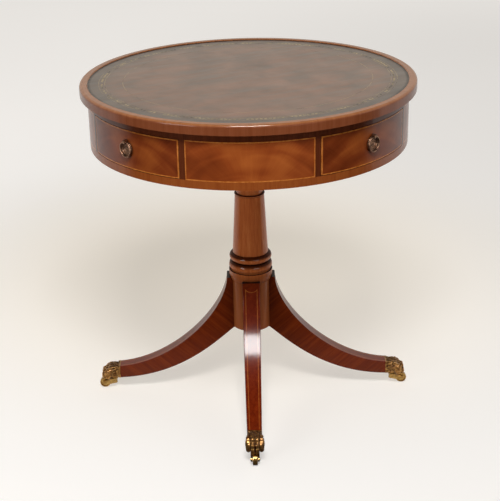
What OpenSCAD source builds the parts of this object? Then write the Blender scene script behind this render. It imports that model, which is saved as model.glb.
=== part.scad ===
// Drum table: a revolving drum with four drawers, on a turned column with four sabre legs
// that end in paw cups with swivelling castors.
// Millimetres, +Z up, origin on the floor under the middle of the table.
// The front drawer faces -Y, and the legs stand on the diagonals.

/* [Overall] */
// Height from the floor to the crown of the rim
table_h = 635; // [600:1:720]
// Diameter of the top over its rim
top_d = 610; // [570:1:680]
// Diameter of the circle that the four wheels stand on
wheel_circle_d = 594; // [540:1:640]

/* [Top] */
// Height of the rim's edge band
rim_h = 18; // [14:0.5:24]
// Width of the rim seen from above
rim_w = 15; // [10:0.5:24]
// Radius of the rim's rounded outer edge
rim_round_r = 5; // [2:0.5:8]
// How far the rim stands out over the frieze
rim_overhang = 13.5; // [8:0.5:18]
// Thickness of the leather
leather_t = 1.2; // [0.8:0.1:2.5]
// How far the leather lies below the crown of the rim
leather_drop = 2.2; // [1:0.1:4]

/* [Drum] */
// Height of the frieze
frieze_h = 97; // [90:1:115]
// Thickness of the frieze wall
frieze_t = 18; // [14:0.5:24]
// Height of the rail above the drawers
upper_rail_h = 14.5; // [10:0.5:20]
// Height of the rail below the drawers
lower_rail_h = 13.8; // [12.5:0.1:18]
// Width of the upright between a drawer and a blank panel, on the face
stile_w = 10.4; // [6:0.2:20]
// Width of the satinwood strings
string_w = 2; // [1:0.1:3]
// Depth of the strings on the drum
string_t = 1.5; // [0.8:0.1:3]
// Thickness of the drum's bottom board
bottom_t = 9; // [6:0.5:10.5]
// How far the bottom board lies above the lower edge of the frieze
bottom_recess = 2; // [0.5:0.1:3]
// Thickness of the boards between the drawers
divider_t = 8; // [5:0.5:12]

/* [Drawers] */
// Width of a drawer front
drawer_w = 211.8; // [190:0.2:224]
// Gap round a drawer front
drawer_gap = 1; // [0.3:0.1:1.5]
// Thickness of a drawer front at its ends
front_t = 9.7; // [8:0.1:14]
// Thickness of a drawer's sides and back
side_t = 8; // [6:0.5:12]
// Height of a drawer's sides
drawer_side_h = 60; // [40:1:62]
// Thickness of a drawer's bottom
drawer_bottom_t = 4; // [3:0.5:6]
// Height of a drawer's bottom above the lower edge of its sides
bottom_lift = 6; // [4:0.5:10]
// Depth of the grooves that hold a drawer's bottom
groove_deep = 3; // [2:0.5:4]
// Width of the runners and kickers
runner_w = 9; // [6:0.5:14]
// Thickness of the drawer stops
stop_t = 2; // [1:0.5:6]
// Width of a drawer stop
stop_w = 20; // [10:1:40]

/* [Ring pulls] */
// Diameter of the backplate
plate_d = 26; // [22:0.5:30]
// Thickness of the backplate at its beads
plate_t = 2.2; // [1.6:0.1:3]
// Outer diameter of the ring
ring_d = 29; // [26:0.5:34]
// Diameter of the ring's wire
ring_wire_d = 3; // [2.4:0.1:3.6]
// Width of the eye that the ring hangs in
eye_w = 4.4; // [3:0.1:5]
// Diameter of the bolt behind the backplate
pull_bolt_d = 4; // [3:0.5:5]

/* [Column] */
// Diameter of the post that the legs join
post_d = 77; // [74:0.5:81]
// Height of the post's lower end above the floor
post_z = 136; // [120:1:150]
// Diameter of the collar over the legs
collar_d = 83.6; // [82:0.4:90]
// Height of the collar over the legs
collar_h = 19.5; // [16:0.5:22]
// Height of the ogee ring above the collar
ogee_h = 17; // [12:0.5:22]
// Diameter of the torus under the shaft
torus_d = 81; // [74:0.5:84]
// Height of the torus
torus_h = 16; // [12:0.5:20]
// Diameter of the shaft at its foot
shaft_foot_d = 68; // [58:0.5:72]
// Diameter of the shaft at its head
shaft_head_d = 56; // [48:0.2:60]
// Diameter of the neck over the shaft
neck_d = 50; // [44:0.5:54]
// Height of the capital, from the astragal to the bearing block
capital_h = 90; // [60:1:100]
// Side of the square bearing block
block_w = 150; // [110:1:190]
// Thickness of the bearing block
block_t = 20; // [14:1:30]
// Diameter of the pivot spindle
spindle_d = 16; // [12:0.5:20]

/* [Legs] */
// Height of the legs' upper ends above the floor
leg_top_h = 242; // [234:1:252]
// How far a leg's upper end stands out from the column's axis
leg_top_r = 46.3; // [43:0.1:50]
// Width of a leg at the post
leg_w = 34; // [28:0.5:40]
// Width of a leg at its toe
toe_w = 26.5; // [24:0.5:28]
// Depth of a leg at its toe
toe_h = 25; // [22:0.5:28]
// Width of the strings on the legs
leg_string_w = 1.6; // [1:0.1:2.4]
// Depth of the strings on the legs
leg_string_t = 1.2; // [0.8:0.1:2]

/* [Castors] */
// Diameter of the wheels
wheel_d = 20.7; // [18:0.1:22]
// Width of the wheels
wheel_w = 9; // [7:0.2:10]
// Distance from the swivel's axis to the wheel's axle
castor_trail = 19.5; // [17:0.5:21]
// Thickness of a fork's cheek
cheek_t = 3.2; // [2.4:0.1:4]
// Diameter of the axle
axle_d = 3.6; // [3:0.1:4.5]
// Diameter of the swivel pin
pin_d = 5; // [4:0.1:6]
// Length of the paw cup
cup_l = 38.8; // [36:0.2:44]
// Width of the paw over its toes
paw_w = 35.6; // [34:0.2:38]
// Thickness of the cup's wall
cup_wall = 2; // [1.5:0.1:3]

/* [Hidden] */
$fn = 96;

mahogany = "#7d3a1c";
flame_mahogany = "#96491f";
dark_mahogany = "#4f2413";
satinwood = "#c98d4a";
pine = "#c2a06a";
leather = "#6d5548";
aged_brass = "#9a7436";
dark_brass = "#5d4a34";
iron = "#4a4846";

// One overrun for every cut, and the running fit of pins and axles
cut = 1;
run_fit = 0.05;
// Gap between pieces that slide past each other on flat faces
slide_gap = 0.2;

// Heights of the drum, from the crown of the rim down
frieze_top = table_h - rim_h;
frieze_foot = frieze_top - frieze_h;
opening_top = frieze_top - upper_rail_h;
opening_foot = frieze_foot + lower_rail_h;
bottom_foot = frieze_foot + bottom_recess;
bottom_top = bottom_foot + bottom_t;
drawer_foot = opening_foot + drawer_gap;
drawer_head = opening_top - drawer_gap;
drawer_mid = (drawer_foot + drawer_head) / 2;
leather_top = table_h - leather_drop;
board_top = leather_top - leather_t;

// Radii of the drum
top_r = top_d / 2;
board_r = top_r - rim_w;
frieze_r = top_r - rim_overhang;
frieze_in_r = frieze_r - frieze_t;
drawer_half = drawer_w / 2;
divider_x = drawer_half + drawer_gap;
divider_out = divider_x + divider_t;
opening_a = asin(divider_x / frieze_r);
panel_half_a = 45 - opening_a - stile_w / frieze_r * 180 / PI;

// Depths of a drawer, measured from the table's axis towards the front
front_in = sqrt(frieze_r * frieze_r - drawer_half * drawer_half) - front_t;
drawer_back_y = divider_out + stop_t;
drawer_sides_top = drawer_foot + drawer_side_h;
stop_place_share = 0.57;
stop_h_share = 0.4;

// The crown of the rim slopes a little towards the leather
rim_lip = leather_t / 2;
rim_lip_w = rim_w / 10;

// Ring pull
ring_r = (ring_d - ring_wire_d) / 2;
ring_off = plate_t + slide_gap + ring_wire_d / 2;
eye_play = 0.5;
eye_wall = 1.6;
bolt_nut_d = 9;
bolt_nut_t = 3;
// Rings of the backplate: radius shares and thickness shares of its profile
plate_radius_shares = [1, 1, 0.94, 0.84, 0.78, 0.74, 0.6, 0.55, 0.42, 0.36, 0.3, 0];
plate_height_shares = [0, 0.5, 0.95, 0.95, 0.6, 0.45, 0.45, 0.75, 0.75, 0.5, 0.85, 1];

// Column, from the post up
post_r = post_d / 2;
collar_lap = 5.5;
collar_foot = leg_top_h - collar_lap;
collar_top = collar_foot + collar_h;
collar_neck = collar_h / 3;
post_round_r = 2.5;
// Where the side of a leg meets the round post
leg_foot_r = sqrt(post_r * post_r - leg_w * leg_w / 4);
groove_h = 2;
groove_deep_r = 3;
ogee_foot = collar_top + groove_h;
ogee_top = ogee_foot + ogee_h;
torus_foot = ogee_top;
torus_top = torus_foot + torus_h;
fillet_h = 1.5;
shaft_foot = torus_top + fillet_h;
block_foot = bottom_foot - block_t;
astragal_top = block_foot - capital_h;
astragal_h = 4;
astragal_out = 0.9;
shaft_head = astragal_top - astragal_h - fillet_h;
// Where the shaft's curve bends, as shares of its height and of its change of radius
shaft_bend_height_shares = [0.3, 0.7];
shaft_bend_radius_shares = [0.33, 0.7];
// Ogee ring: how its curve runs in, as shares of its height and of its step in radius
ogee_height_shares = [0.3, 0.8, 0.97, 1];
ogee_radius_shares = [0, 0, 0.5, 1];
ogee_in = 6.5;
neck_share = 0.4;
capital_flare_share = 0.85;
capital_out = 20;
abacus_h = 10;
tenon_r = 20;
spindle_sink = 50;
spindle_out = 22;
hub_w = 90;
spindle_room = 1;
spindle_hole_w = spindle_d + 2 * spindle_room;
board_joint = 0.05;
hub_h = 30;
washer_d = 40;
washer_t = 3;
nut_af = 24;
nut_h = 12;

// Legs
toe_gap = 0.8;
boss_h = 4;
cup_under_z = wheel_d + toe_gap + boss_h;
toe_z = cup_under_z + cup_wall / 4;
swivel_in = 13.5;
toe_r = wheel_circle_d / 2 - castor_trail - swivel_in;
leg_steps = 24;
// Bends of the upper and lower curves, as shares of their run and of their drop
leg_over_run_shares = [0.02, 0.5];
leg_over_drop_shares = [0.388, 0.959];
leg_under_run_shares = [0.2, 0.5];
leg_under_drop_shares = [0.38, 0.965];
post_sink = post_r / 3;
dovetail_l = 14;
dovetail_w = 16;
dovetail_flare = 2;
dovetail_h = 96;
string_place_share = 0.66;
string_end_drop = 11;
string_end_z = leg_top_h - string_end_drop;
// The string's upper end is an arc that dips between its two sides
string_dip = 6;
string_half = leg_w / 2 * string_place_share;
string_dip_r = (string_half * string_half + string_dip * string_dip) / (2 * string_dip);
toe_tenon_l = 19;
toe_tenon_w = toe_w - 2 * cup_wall;
toe_tenon_z = toe_z + cup_wall;
toe_tenon_h = toe_h - 3 * cup_wall;

// Castors
axle_z = wheel_d / 2;
fork_top = cup_under_z - boss_h - slide_gap;
boss_r = 7;
fork_boss_r = 5;
fork_boss_foot = axle_z - fork_boss_r / 4;
fork_boss_mid = fork_top - fork_boss_r - 2 * slide_gap;
fork_flange_t = 1.8;
cheek_r = 4.3;
wheel_play = 0.4;
pin_head_d = 8;
pin_head_t = 2;
pin_head_room = 1;
axle_head_t = 0.7;
// Shares of the wheel's radius and half width along its turned side
wheel_radius_shares = [0.36, 0.4, 0.76, 0.82, 0.94, 1];
wheel_width_shares = [1, 0.62, 0.62, 1, 1, 0.72];
screw_x = 7;
screw_z = toe_z + toe_h / 2;
screw_head_d = 5.6;
screw_head_t = 1.6;
screw_d = 2.8;
screw_l = 8;
screw_slot_w = 0.8;
screw_slot_deep = 0.6;
// How far a screw's head stands out of the cup's side
screw_crown = 0.5;
screw_crown_share = 0.6;
toe_facets = 20;
// Toes of the paw: places across as shares of half the paw, and how far each is drawn back as
// shares of the cup's length
toe_side_shares = [-1, -0.345, 0.345, 1];
toe_back_shares = [0.2, 0, 0, 0.2];
// How far the knuckles and the claws are drawn in to the middle
knuckle_in_share = 0.88;
claw_in_share = 0.93;
knuckle_r = 5;
joint_r = 5.2;
claw_r = 4.6;
shoulder_share = 2 / 3;
cuff_l = 5;
// The cup's side outline: places along its length and its height
cup_along_shares = [0.36, 0.62, 0.8, 0.88];
cup_high_shares = [1.02, 0.94, 0.62, 0.3];
// The cup's plan: places along its length and its half width
cup_plan_shares = [0, 0.16, 0.36, 0.62, 0.8, 0.88];
cup_side_shares = [0, 0.05, 0.32, 0.9, 0.5, -0.6];

function bend(p, t) =
    pow(1 - t, 3) * p[0] + 3 * pow(1 - t, 2) * t * p[1] + 3 * (1 - t) * t * t * p[2] + pow(t, 3) * p[3];
function curve(p, n) = [for (i = [0 : n]) bend(p, i / n)];
function arc(c, r, a0, a1, n) =
    [for (i = [0 : n]) let (a = a0 + (a1 - a0) * i / n) [c[0] + r * cos(a), c[1] + r * sin(a)]];
function backwards(p) = [for (i = [len(p) - 1 : -1 : 0]) p[i]];

// Places: a drawer's number turns it from the front to the right, back and left,
// and a leg's number from the front right to the back right, back left and front left
module at_drawer(i) { rotate([0, 0, 90 * i]) children(); }
module at_leg(i) { rotate([0, 0, 90 * i - 45]) children(); }
module at_swivel() { translate([toe_r + swivel_in, 0, 0]) children(); }

// A ring between two radii and two heights
module band(r_in, r_out, z_foot, z_head) {
    rotate_extrude() translate([r_in, z_foot]) square([r_out - r_in, z_head - z_foot]);
}

// A curved block that stands half an angle to each side of the direction -Y
module curved_block(r_in, r_out, z_foot, z_head, half_a) {
    rotate([0, 0, -90 - half_a])
        rotate_extrude(angle = 2 * half_a)
            translate([r_in, z_foot]) square([r_out - r_in, z_head - z_foot]);
}

// A box that is centred on X and runs from one Y to another
module slab(half_w, y_near, y_far, z_foot, z_head) {
    translate([-half_w, y_near, z_foot]) cube([2 * half_w, y_far - y_near, z_head - z_foot]);
}

// Top

module top_board() {
    color(pine) band(0, board_r, frieze_top, board_top);
}

module top_rim() {
    color(mahogany) rotate_extrude()
        polygon(concat(
            [[board_r, frieze_top], [top_r, frieze_top]],
            arc([top_r - rim_round_r, table_h - rim_round_r], rim_round_r, 0, 90, 8),
            [[board_r + rim_lip_w, table_h], [board_r, leather_top + rim_lip]]));
}

module leather_inset() {
    color(leather) band(0, board_r, board_top, leather_top);
}

// Frieze

module upper_rail() {
    color(mahogany) band(frieze_in_r, frieze_r, opening_top, frieze_top);
}

module lower_rail() {
    color(mahogany) band(frieze_in_r, frieze_r, frieze_foot, opening_foot);
}

// A board of the drum's bottom, from one side of the spindle's hole to the rim
module bottom_plank(x0, x1, y0) {
    intersection() {
        band(0, frieze_in_r, bottom_foot, bottom_top);
        translate([x0, y0, bottom_foot]) cube([x1 - x0, frieze_in_r - y0, bottom_t]);
    }
}

// Four boards joined round a square hole
module bottom_board() {
    hole_half = spindle_hole_w / 2;
    color(pine) for (side = [0, 1]) {
        mirror([side, 0, 0]) bottom_plank(hole_half + board_joint, frieze_in_r, -frieze_in_r);
        mirror([0, side, 0]) bottom_plank(-hole_half, hole_half, hole_half);
    }
}

module frieze_stiles() {
    color(mahogany) for (i = [0 : 3], side = [-1, 1])
        at_drawer(i) mirror([side < 0 ? 1 : 0, 0, 0])
            difference() {
                rotate([0, 0, -90]) rotate_extrude(angle = 45 - panel_half_a)
                    translate([frieze_in_r, opening_foot]) square([frieze_t, opening_top - opening_foot]);
                slab(divider_x, -frieze_r - cut, 0, opening_foot - cut, opening_top + cut);
            }
}

module panel_window() {
    string_a = string_w / frieze_r * 180 / PI;
    difference() {
        curved_block(frieze_r - string_t, frieze_r, opening_foot, opening_top, panel_half_a);
        curved_block(frieze_r - string_t - cut, frieze_r + cut, opening_foot + string_w,
            opening_top - string_w, panel_half_a - string_a);
    }
}

module blank_panels() {
    color(flame_mahogany) for (i = [0 : 3]) rotate([0, 0, 90 * i + 45])
        difference() {
            curved_block(frieze_in_r, frieze_r, opening_foot, opening_top, panel_half_a);
            panel_window();
        }
}

module panel_stringing() {
    color(satinwood) for (i = [0 : 3]) rotate([0, 0, 90 * i + 45]) panel_window();
}

// Inside the drum

module divider_pair(notch_foot, notch_head) {
    intersection() {
        band(0, frieze_in_r, bottom_top, frieze_top);
        difference() {
            for (side = [0, 1]) mirror([side, 0, 0])
                translate([divider_x, -frieze_r, bottom_top])
                    cube([divider_t, 2 * frieze_r, frieze_top - bottom_top]);
            for (side = [0, 1]) mirror([0, side, 0])
                translate([-divider_out - cut, divider_x, notch_foot])
                    cube([2 * divider_out + 2 * cut, divider_t, notch_head - notch_foot]);
        }
    }
}

module dividers_front_back() {
    color(pine) divider_pair(bottom_top - cut, (bottom_top + frieze_top) / 2);
}

module dividers_left_right() {
    color(pine) rotate([0, 0, 90]) divider_pair((bottom_top + frieze_top) / 2, frieze_top + cut);
}

// Strips along both sides of every drawer, between two heights
module side_strips(z_foot, z_head) {
    intersection() {
        band(0, frieze_in_r, z_foot, z_head);
        for (i = [0 : 3], side = [0, 1]) at_drawer(i) mirror([side, 0, 0])
            translate([divider_x - runner_w, -frieze_r, z_foot])
                cube([runner_w, frieze_r - divider_out, z_head - z_foot]);
    }
}

module drawer_runners() {
    color(pine) side_strips(bottom_top, drawer_foot);
}

module drawer_kickers() {
    color(pine) side_strips(drawer_sides_top + drawer_gap, frieze_top);
}

module drawer_stops() {
    color(pine) for (i = [0 : 3], side = [-1, 1]) at_drawer(i)
        translate([side * drawer_half * stop_place_share, -drawer_back_y, drawer_foot])
            slab(stop_w / 2, 0, stop_t, drawer_side_h * stop_h_share, drawer_side_h * 2 * stop_h_share);
}

module hub_block() {
    color(pine) difference() {
        slab(hub_w / 2, -hub_w / 2, hub_w / 2, bottom_top, bottom_top + hub_h);
        translate([0, 0, bottom_top - cut]) cylinder(r = spindle_d / 2 + run_fit, h = hub_h + 2 * cut);
    }
}

// Drawers, drawn at the front

module front_shape(grow) {
    intersection() {
        band(0, frieze_r, drawer_foot, drawer_head);
        slab(drawer_half, -frieze_r - cut, -front_in, drawer_foot - grow, drawer_head + grow);
    }
}

module drawer_string_shape() {
    difference() {
        intersection() {
            band(frieze_r - string_t, frieze_r, drawer_foot, drawer_head);
            slab(drawer_half, -frieze_r - cut, 0, drawer_foot, drawer_head);
        }
        slab(drawer_half - string_w, -frieze_r - cut, 0, drawer_foot + string_w, drawer_head - string_w);
    }
}

// The bottom board of a drawer, in its grooves
module drawer_bottom_shape() {
    slab(drawer_half - side_t + groove_deep, -front_in - groove_deep, -drawer_back_y,
        drawer_foot + bottom_lift, drawer_foot + bottom_lift + drawer_bottom_t);
}

module drawer_face() {
    color(flame_mahogany) difference() {
        front_shape(cut);
        drawer_string_shape();
        drawer_bottom_shape();
        translate([0, 0, drawer_mid]) rotate([90, 0, 0]) cylinder(r = pull_bolt_d / 2, h = frieze_r + cut);
    }
}

module drawer_box() {
    color(pine) {
        for (side = [0, 1]) mirror([side, 0, 0]) difference() {
            translate([drawer_half - side_t, -front_in, drawer_foot])
                cube([side_t, front_in - drawer_back_y, drawer_side_h]);
            drawer_bottom_shape();
        }
        slab(drawer_half - side_t, -drawer_back_y - side_t, -drawer_back_y,
            drawer_foot + bottom_lift + drawer_bottom_t, drawer_sides_top);
        drawer_bottom_shape();
    }
}

module drawer_stringing() {
    color(satinwood) drawer_string_shape();
}

// Ring pulls, drawn at the front

module eye_bore() {
    translate([-eye_w, -frieze_r - ring_off, drawer_mid + ring_r])
        rotate([0, 90, 0]) cylinder(r = ring_wire_d / 2 + eye_play, h = 2 * eye_w);
}

module pull_plate() {
    eye_r = ring_wire_d / 2 + eye_play + eye_wall;
    color(dark_brass) {
        difference() {
            union() {
                translate([0, -frieze_r, drawer_mid]) rotate([90, 0, 0]) rotate_extrude()
                    polygon(concat([[0, 0]],
                        [for (i = [0 : len(plate_radius_shares) - 1])
                            [plate_d / 2 * plate_radius_shares[i], plate_t * plate_height_shares[i]]]));
                translate([-eye_w / 2, -frieze_r - ring_off, drawer_mid + ring_r])
                    rotate([0, 90, 0]) cylinder(r = eye_r, h = eye_w);
                translate([-eye_w / 2, -frieze_r - ring_off, drawer_mid + ring_r - eye_r])
                    cube([eye_w, ring_off, 2 * eye_r]);
                translate([0, -frieze_r + cut - plate_t / 2, drawer_mid]) rotate([-90, 0, 0])
                    cylinder(r = pull_bolt_d / 2, h = frieze_r - front_in + bolt_nut_t);
            }
            eye_bore();
        }
        translate([0, -front_in, drawer_mid]) rotate([-90, 0, 0])
            cylinder(d = bolt_nut_d, h = bolt_nut_t, $fn = 6);
    }
}

module pull_ring() {
    color(dark_brass) translate([0, -frieze_r - ring_off, drawer_mid]) rotate([90, 0, 0])
        rotate_extrude() translate([ring_r, 0]) circle(d = ring_wire_d);
}

// Column

module column_profile() {
    ogee_r = collar_d / 2 - slide_gap;
    torus_r = torus_h / 2;
    foot_r = shaft_foot_d / 2;
    head_r = shaft_head_d / 2;
    neck_r = neck_d / 2;
    neck_top = astragal_top + capital_h * neck_share;
    abacus_foot = block_foot - abacus_h;
    shaft_l = shaft_head - shaft_foot;
    polygon(concat(
        [[0, post_z]],
        arc([post_r - post_round_r, post_z + post_round_r], post_round_r, -90, 0, 6),
        [[post_r, collar_foot]],
        curve([[post_r, collar_foot], [collar_d / 2 - cut, collar_foot + cut],
            [collar_d / 2, collar_foot + collar_neck], [collar_d / 2, collar_foot + 2 * collar_neck]], 6),
        [[collar_d / 2, collar_top], [collar_d / 2 - groove_deep_r, collar_top],
            [collar_d / 2 - groove_deep_r, ogee_foot]],
        curve([for (i = [0 : 3])
            [ogee_r - ogee_in * ogee_radius_shares[i], ogee_foot + ogee_h * ogee_height_shares[i]]], 8),
        arc([torus_d / 2 - torus_r, torus_foot + torus_r], torus_r, -80, 80, 12),
        [[foot_r, torus_top], [foot_r, shaft_foot]],
        curve([[foot_r, shaft_foot],
            [foot_r - (foot_r - head_r) * shaft_bend_radius_shares[0],
                shaft_foot + shaft_l * shaft_bend_height_shares[0]],
            [foot_r - (foot_r - head_r) * shaft_bend_radius_shares[1],
                shaft_foot + shaft_l * shaft_bend_height_shares[1]],
            [head_r, shaft_head]], 12),
        [[head_r, astragal_top - astragal_h]],
        arc([head_r + astragal_out - astragal_h / 2, astragal_top - astragal_h / 2], astragal_h / 2,
            -80, 80, 8),
        [[neck_r, astragal_top], [neck_r, neck_top]],
        curve([[neck_r, neck_top], [neck_r, neck_top + (abacus_foot - neck_top) * capital_flare_share],
            [neck_r + capital_out * neck_share, abacus_foot],
            [neck_r + capital_out - groove_h, abacus_foot]], 8),
        [[neck_r + capital_out, abacus_foot], [neck_r + capital_out, block_foot],
            [tenon_r, block_foot], [tenon_r, bottom_foot - slide_gap], [0, bottom_foot - slide_gap]]));
}

module column_turning() { rotate_extrude() column_profile(); }

// The sliding dovetail on a leg's inner end, which the post is cut for
module leg_dovetail() {
    translate([0, 0, post_z]) linear_extrude(height = dovetail_h)
        polygon([[post_r - dovetail_l, -dovetail_w / 2 - dovetail_flare],
            [post_r, -dovetail_w / 2], [post_r + dovetail_flare, -dovetail_w / 2],
            [post_r + dovetail_flare, dovetail_w / 2], [post_r, dovetail_w / 2],
            [post_r - dovetail_l, dovetail_w / 2 + dovetail_flare]]);
}

module column() {
    color(mahogany) difference() {
        column_turning();
        for (i = [0 : 3]) at_leg(i) leg_dovetail();
        translate([0, 0, block_foot - spindle_sink])
            cylinder(d = spindle_d, h = spindle_sink + block_t + cut);
    }
}

module bearing_block() {
    color(dark_mahogany) difference() {
        slab(block_w / 2, -block_w / 2, block_w / 2, block_foot, bottom_foot);
        translate([0, 0, block_foot - cut]) cylinder(r = tenon_r, h = block_t + 2 * cut);
    }
}

module pivot_spindle() {
    color(iron) translate([0, 0, block_foot - spindle_sink])
        cylinder(d = spindle_d, h = spindle_sink + block_t + bottom_t + hub_h + spindle_out);
}

module spindle_washer() {
    color(iron) band(spindle_d / 2, washer_d / 2, bottom_top + hub_h + slide_gap,
        bottom_top + hub_h + slide_gap + washer_t);
}

module spindle_nut() {
    color(iron) translate([0, 0, bottom_top + hub_h + slide_gap + washer_t]) difference() {
        cylinder(d = nut_af / cos(30), h = nut_h, $fn = 6);
        translate([0, 0, -cut]) cylinder(d = spindle_d, h = nut_h + 2 * cut);
    }
}

// Legs, drawn along +X

leg_run = toe_r - leg_top_r;
leg_drop = leg_top_h - toe_z - toe_h;
under_run = toe_r - leg_foot_r;
under_drop = post_z - toe_z;
leg_over = curve([[leg_top_r, leg_top_h],
    [leg_top_r + leg_run * leg_over_run_shares[0], leg_top_h - leg_drop * leg_over_drop_shares[0]],
    [leg_top_r + leg_run * leg_over_run_shares[1], leg_top_h - leg_drop * leg_over_drop_shares[1]],
    [toe_r, toe_z + toe_h]], leg_steps);
leg_under = curve([[leg_foot_r, post_z],
    [leg_foot_r + under_run * leg_under_run_shares[0], post_z - under_drop * leg_under_drop_shares[0]],
    [leg_foot_r + under_run * leg_under_run_shares[1], post_z - under_drop * leg_under_drop_shares[1]],
    [toe_r, toe_z]], leg_steps);

// Extrudes a side view, drawn in X and Z, across Y
module across(w) { rotate([90, 0, 0]) linear_extrude(height = w, center = true) children(); }

// The leg's plan, narrowed on each side by one inset at the post and one at the toe
module leg_plan(share) {
    translate([0, 0, -cut]) linear_extrude(height = leg_top_h + 2 * cut)
        polygon([[post_r - post_sink, -leg_w / 2 * share], [toe_r, -toe_w / 2 * share],
            [toe_r, toe_w / 2 * share], [post_r - post_sink, leg_w / 2 * share]]);
}

// What the string encloses on a leg, out to one share of its width
module leg_string_field(share, inset) {
    intersection() {
        leg_plan(share);
        rotate([90, 0, 90]) linear_extrude(height = toe_r + cut) difference() {
            translate([-leg_w, -cut]) square([2 * leg_w, string_end_z - inset + cut]);
            translate([0, string_end_z + string_dip_r - string_dip]) circle(r = string_dip_r + inset);
        }
    }
}

module leg_string_shape(over) {
    half_share = leg_string_w / leg_w;
    intersection() {
        across(leg_w) polygon(concat([for (p = leg_over) [p[0] + over, p[1] + over]],
            backwards([for (p = leg_over) [p[0] - leg_string_t, p[1] - leg_string_t]])));
        difference() {
            leg_string_field(string_place_share + half_share, 0);
            leg_string_field(string_place_share - half_share, leg_string_w);
        }
    }
}

module leg() {
    difference() {
        union() {
            difference() {
                intersection() {
                    across(leg_w) polygon(concat([[post_r - post_sink, leg_top_h]], leg_over,
                        backwards(leg_under), [[post_r - post_sink, post_z]]));
                    leg_plan(1);
                }
                column_turning();
            }
            leg_dovetail();
            translate([toe_r - cut, -toe_tenon_w / 2, toe_tenon_z])
                cube([toe_tenon_l + cut, toe_tenon_w, toe_tenon_h]);
        }
        leg_string_shape(cut);
        at_swivel() translate([0, 0, toe_tenon_z - cut])
            cylinder(d = pin_head_d + 2 * pin_head_room, h = cut + pin_head_t + pin_head_room + slide_gap);
        cup_screw_pair();
    }
}

module leg_stringing() {
    color(satinwood) for (i = [0 : 3]) at_leg(i) leg_string_shape(0);
}

// Castors, drawn along +X

module at_screws() {
    for (side = [0, 1]) mirror([0, side, 0])
        translate([toe_r + screw_x, toe_w / 2 + screw_crown, screw_z]) rotate([90, 0, 0]) children();
}

module cup_screw_pair() {
    at_screws() rotate_extrude()
        polygon([[0, 0], [screw_head_d / 2 * screw_crown_share, 0], [screw_head_d / 2, screw_crown],
            [screw_d / 2, screw_head_t], [screw_d / 2, screw_l], [0, screw_l + screw_d / 2]]);
}

module cup_screws() {
    color(aged_brass) for (i = [0 : 3]) at_leg(i) difference() {
        cup_screw_pair();
        at_screws() translate([-screw_head_d, -screw_slot_w / 2, -cut])
            cube([2 * screw_head_d, screw_slot_w, screw_slot_deep + cut]);
    }
}

// A coordinate of a rounded square, from a cosine or a sine
function rounded(v) = sign(v) * pow(abs(v), shoulder_share);

module paw_toe(side_share, back) {
    y = side_share * (paw_w / 2 - joint_r);
    hull() {
        translate([cup_l / 2 - back, y * knuckle_in_share, toe_z + toe_h - knuckle_r - cup_wall])
            sphere(r = knuckle_r, $fn = toe_facets);
        translate([cup_l - joint_r - cup_wall - back, y, toe_z + toe_h / 2])
            sphere(r = joint_r, $fn = toe_facets);
        translate([cup_l - claw_r - back, y * claw_in_share, cup_under_z - boss_h + claw_r + slide_gap])
            sphere(r = claw_r, $fn = toe_facets);
    }
}

// A paw's cross-section past its square cuff, with rounded shoulders
module paw_section() {
    half_h = toe_h / 2 + cup_wall / 4;
    polygon([for (a = [0 : 15 : 345])
        [paw_w / 2 * rounded(cos(a)), toe_z + toe_h / 2 + half_h * rounded(sin(a))]]);
}

module castor_cup() {
    side_step = paw_w / 2 - joint_r / 2 - toe_w / 2;
    color(aged_brass) difference() {
        translate([toe_r, 0, 0]) union() {
            intersection() {
                across(paw_w) polygon(concat(
                    [[0, cup_under_z], [0, toe_z + toe_h]],
                    curve(concat([[0, toe_z + toe_h]],
                        [for (i = [0 : 2])
                            [cup_l * cup_along_shares[i], toe_z + toe_h * cup_high_shares[i]]]), 10),
                    [[cup_l * cup_along_shares[3], toe_z + toe_h * cup_high_shares[3]],
                        [cup_l * cup_along_shares[2], cup_under_z]]));
                linear_extrude(height = leg_top_h)
                    polygon(concat(
                        [for (i = [0 : 5])
                            [cup_l * cup_plan_shares[i], toe_w / 2 + side_step * cup_side_shares[i]]],
                        [for (i = [5 : -1 : 0])
                            [cup_l * cup_plan_shares[i], -toe_w / 2 - side_step * cup_side_shares[i]]]));
                union() {
                    translate([0, -paw_w / 2, 0]) cube([cuff_l, paw_w, leg_top_h]);
                    rotate([90, 0, 90]) linear_extrude(height = cup_l) paw_section();
                }
            }
            for (i = [0 : 3]) paw_toe(toe_side_shares[i], cup_l * toe_back_shares[i]);
            translate([swivel_in, 0, cup_under_z - boss_h]) cylinder(r = boss_r, h = boss_h + cut);
        }
        translate([toe_r - cut, -toe_tenon_w / 2, toe_tenon_z])
            cube([toe_tenon_l + cut, toe_tenon_w, toe_tenon_h]);
        at_swivel() translate([0, 0, fork_top]) cylinder(r = pin_d / 2 + run_fit, h = toe_tenon_z);
        cup_screw_pair();
    }
}

// Two round ends in the X-Z plane joined by their outer tangents
module tapered_link(p0, r0, p1, r1) {
    a = atan2(p1[1] - p0[1], p1[0] - p0[0]);
    b = acos((r0 - r1) / norm(p1 - p0));
    polygon(concat(arc(p0, r0, a + b, a - b + 360, 16), arc(p1, r1, a - b, a + b, 16)));
}

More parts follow.
